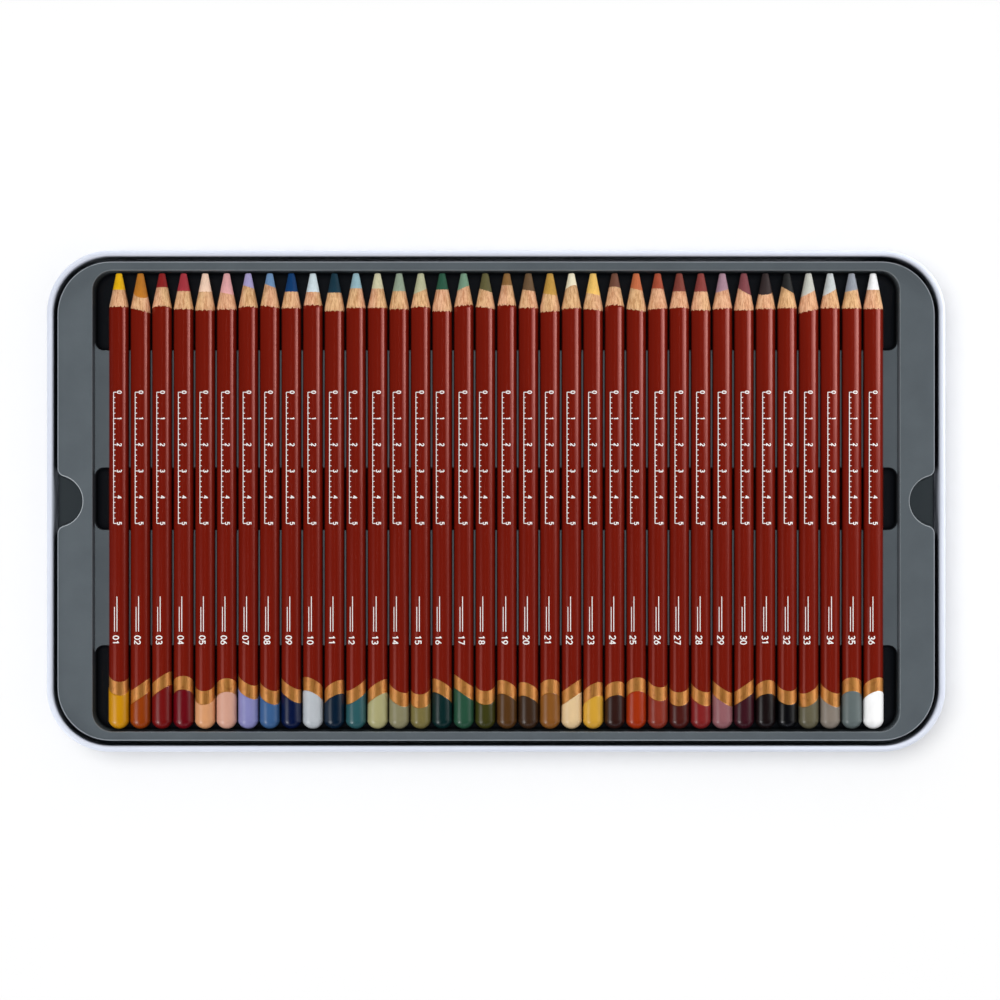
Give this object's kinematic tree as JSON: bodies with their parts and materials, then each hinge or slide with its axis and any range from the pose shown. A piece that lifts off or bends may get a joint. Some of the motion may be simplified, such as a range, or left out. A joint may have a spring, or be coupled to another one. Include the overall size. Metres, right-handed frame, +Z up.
{
  "type": "drawing pencil set",
  "caption": "Drawing pencils side by side in a grey lift-out tray with finger wells and notches, in a shallow rounded tin with a rolled rim.",
  "frame": {"origin": "middle of the tin's underside, on the surface that it lies on", "axes": "+X across the pencils from left to right, +Y along the pencils towards their points, +Z up"},
  "size_m": [0.342, 0.1908, 0.017],
  "materials": {
    "tinplate": "pale satin lacquer on thin drawn tinplate",
    "tray_plastic": "dark grey thermoformed sheet, satin",
    "lacquered_cedar": "glossy brick-red lacquer over cedar, with a coloured core and dip"
  },
  "bodies": {
    "base": {"tin_base": "tinplate"},
    "tray": {"pencil_tray": "tray_plastic"},
    "pencil_01": {"pencil_01": "lacquered_cedar"},
    "pencil_02": {"pencil_02": "lacquered_cedar"},
    "pencil_03": {"pencil_03": "lacquered_cedar"},
    "pencil_04": {"pencil_04": "lacquered_cedar"},
    "pencil_05": {"pencil_05": "lacquered_cedar"},
    "pencil_06": {"pencil_06": "lacquered_cedar"},
    "pencil_07": {"pencil_07": "lacquered_cedar"},
    "pencil_08": {"pencil_08": "lacquered_cedar"},
    "pencil_09": {"pencil_09": "lacquered_cedar"},
    "pencil_10": {"pencil_10": "lacquered_cedar"},
    "pencil_11": {"pencil_11": "lacquered_cedar"},
    "pencil_12": {"pencil_12": "lacquered_cedar"},
    "pencil_13": {"pencil_13": "lacquered_cedar"},
    "pencil_14": {"pencil_14": "lacquered_cedar"},
    "pencil_15": {"pencil_15": "lacquered_cedar"},
    "pencil_16": {"pencil_16": "lacquered_cedar"},
    "pencil_17": {"pencil_17": "lacquered_cedar"},
    "pencil_18": {"pencil_18": "lacquered_cedar"},
    "pencil_19": {"pencil_19": "lacquered_cedar"},
    "pencil_20": {"pencil_20": "lacquered_cedar"},
    "pencil_21": {"pencil_21": "lacquered_cedar"},
    "pencil_22": {"pencil_22": "lacquered_cedar"},
    "pencil_23": {"pencil_23": "lacquered_cedar"},
    "pencil_24": {"pencil_24": "lacquered_cedar"},
    "pencil_25": {"pencil_25": "lacquered_cedar"},
    "pencil_26": {"pencil_26": "lacquered_cedar"},
    "pencil_27": {"pencil_27": "lacquered_cedar"},
    "pencil_28": {"pencil_28": "lacquered_cedar"},
    "pencil_29": {"pencil_29": "lacquered_cedar"},
    "pencil_30": {"pencil_30": "lacquered_cedar"},
    "pencil_31": {"pencil_31": "lacquered_cedar"},
    "pencil_32": {"pencil_32": "lacquered_cedar"},
    "pencil_33": {"pencil_33": "lacquered_cedar"},
    "pencil_34": {"pencil_34": "lacquered_cedar"},
    "pencil_35": {"pencil_35": "lacquered_cedar"},
    "pencil_36": {"pencil_36": "lacquered_cedar"}
  },
  "joints": [
    {"name": "lift_out_tray", "type": "slide", "parent": "base", "child": "tray", "axis": [0, 0, 1], "range_m": [0, 0.03]},
    {"name": "pencil_01_lift", "type": "slide", "parent": "tray", "child": "pencil_01", "axis": [0, 0, 1], "range_m": [0, 0.03]},
    {"name": "pencil_02_lift", "type": "slide", "parent": "tray", "child": "pencil_02", "axis": [0, 0, 1], "range_m": [0, 0.03]},
    {"name": "pencil_03_lift", "type": "slide", "parent": "tray", "child": "pencil_03", "axis": [0, 0, 1], "range_m": [0, 0.03]},
    {"name": "pencil_04_lift", "type": "slide", "parent": "tray", "child": "pencil_04", "axis": [0, 0, 1], "range_m": [0, 0.03]},
    {"name": "pencil_05_lift", "type": "slide", "parent": "tray", "child": "pencil_05", "axis": [0, 0, 1], "range_m": [0, 0.03]},
    {"name": "pencil_06_lift", "type": "slide", "parent": "tray", "child": "pencil_06", "axis": [0, 0, 1], "range_m": [0, 0.03]},
    {"name": "pencil_07_lift", "type": "slide", "parent": "tray", "child": "pencil_07", "axis": [0, 0, 1], "range_m": [0, 0.03]},
    {"name": "pencil_08_lift", "type": "slide", "parent": "tray", "child": "pencil_08", "axis": [0, 0, 1], "range_m": [0, 0.03]},
    {"name": "pencil_09_lift", "type": "slide", "parent": "tray", "child": "pencil_09", "axis": [0, 0, 1], "range_m": [0, 0.03]},
    {"name": "pencil_10_lift", "type": "slide", "parent": "tray", "child": "pencil_10", "axis": [0, 0, 1], "range_m": [0, 0.03]},
    {"name": "pencil_11_lift", "type": "slide", "parent": "tray", "child": "pencil_11", "axis": [0, 0, 1], "range_m": [0, 0.03]},
    {"name": "pencil_12_lift", "type": "slide", "parent": "tray", "child": "pencil_12", "axis": [0, 0, 1], "range_m": [0, 0.03]},
    {"name": "pencil_13_lift", "type": "slide", "parent": "tray", "child": "pencil_13", "axis": [0, 0, 1], "range_m": [0, 0.03]},
    {"name": "pencil_14_lift", "type": "slide", "parent": "tray", "child": "pencil_14", "axis": [0, 0, 1], "range_m": [0, 0.03]},
    {"name": "pencil_15_lift", "type": "slide", "parent": "tray", "child": "pencil_15", "axis": [0, 0, 1], "range_m": [0, 0.03]},
    {"name": "pencil_16_lift", "type": "slide", "parent": "tray", "child": "pencil_16", "axis": [0, 0, 1], "range_m": [0, 0.03]},
    {"name": "pencil_17_lift", "type": "slide", "parent": "tray", "child": "pencil_17", "axis": [0, 0, 1], "range_m": [0, 0.03]},
    {"name": "pencil_18_lift", "type": "slide", "parent": "tray", "child": "pencil_18", "axis": [0, 0, 1], "range_m": [0, 0.03]},
    {"name": "pencil_19_lift", "type": "slide", "parent": "tray", "child": "pencil_19", "axis": [0, 0, 1], "range_m": [0, 0.03]},
    {"name": "pencil_20_lift", "type": "slide", "parent": "tray", "child": "pencil_20", "axis": [0, 0, 1], "range_m": [0, 0.03]},
    {"name": "pencil_21_lift", "type": "slide", "parent": "tray", "child": "pencil_21", "axis": [0, 0, 1], "range_m": [0, 0.03]},
    {"name": "pencil_22_lift", "type": "slide", "parent": "tray", "child": "pencil_22", "axis": [0, 0, 1], "range_m": [0, 0.03]},
    {"name": "pencil_23_lift", "type": "slide", "parent": "tray", "child": "pencil_23", "axis": [0, 0, 1], "range_m": [0, 0.03]},
    {"name": "pencil_24_lift", "type": "slide", "parent": "tray", "child": "pencil_24", "axis": [0, 0, 1], "range_m": [0, 0.03]},
    {"name": "pencil_25_lift", "type": "slide", "parent": "tray", "child": "pencil_25", "axis": [0, 0, 1], "range_m": [0, 0.03]},
    {"name": "pencil_26_lift", "type": "slide", "parent": "tray", "child": "pencil_26", "axis": [0, 0, 1], "range_m": [0, 0.03]},
    {"name": "pencil_27_lift", "type": "slide", "parent": "tray", "child": "pencil_27", "axis": [0, 0, 1], "range_m": [0, 0.03]},
    {"name": "pencil_28_lift", "type": "slide", "parent": "tray", "child": "pencil_28", "axis": [0, 0, 1], "range_m": [0, 0.03]},
    {"name": "pencil_29_lift", "type": "slide", "parent": "tray", "child": "pencil_29", "axis": [0, 0, 1], "range_m": [0, 0.03]},
    {"name": "pencil_30_lift", "type": "slide", "parent": "tray", "child": "pencil_30", "axis": [0, 0, 1], "range_m": [0, 0.03]},
    {"name": "pencil_31_lift", "type": "slide", "parent": "tray", "child": "pencil_31", "axis": [0, 0, 1], "range_m": [0, 0.03]},
    {"name": "pencil_32_lift", "type": "slide", "parent": "tray", "child": "pencil_32", "axis": [0, 0, 1], "range_m": [0, 0.03]},
    {"name": "pencil_33_lift", "type": "slide", "parent": "tray", "child": "pencil_33", "axis": [0, 0, 1], "range_m": [0, 0.03]},
    {"name": "pencil_34_lift", "type": "slide", "parent": "tray", "child": "pencil_34", "axis": [0, 0, 1], "range_m": [0, 0.03]},
    {"name": "pencil_35_lift", "type": "slide", "parent": "tray", "child": "pencil_35", "axis": [0, 0, 1], "range_m": [0, 0.03]},
    {"name": "pencil_36_lift", "type": "slide", "parent": "tray", "child": "pencil_36", "axis": [0, 0, 1], "range_m": [0, 0.03]}
  ]
}
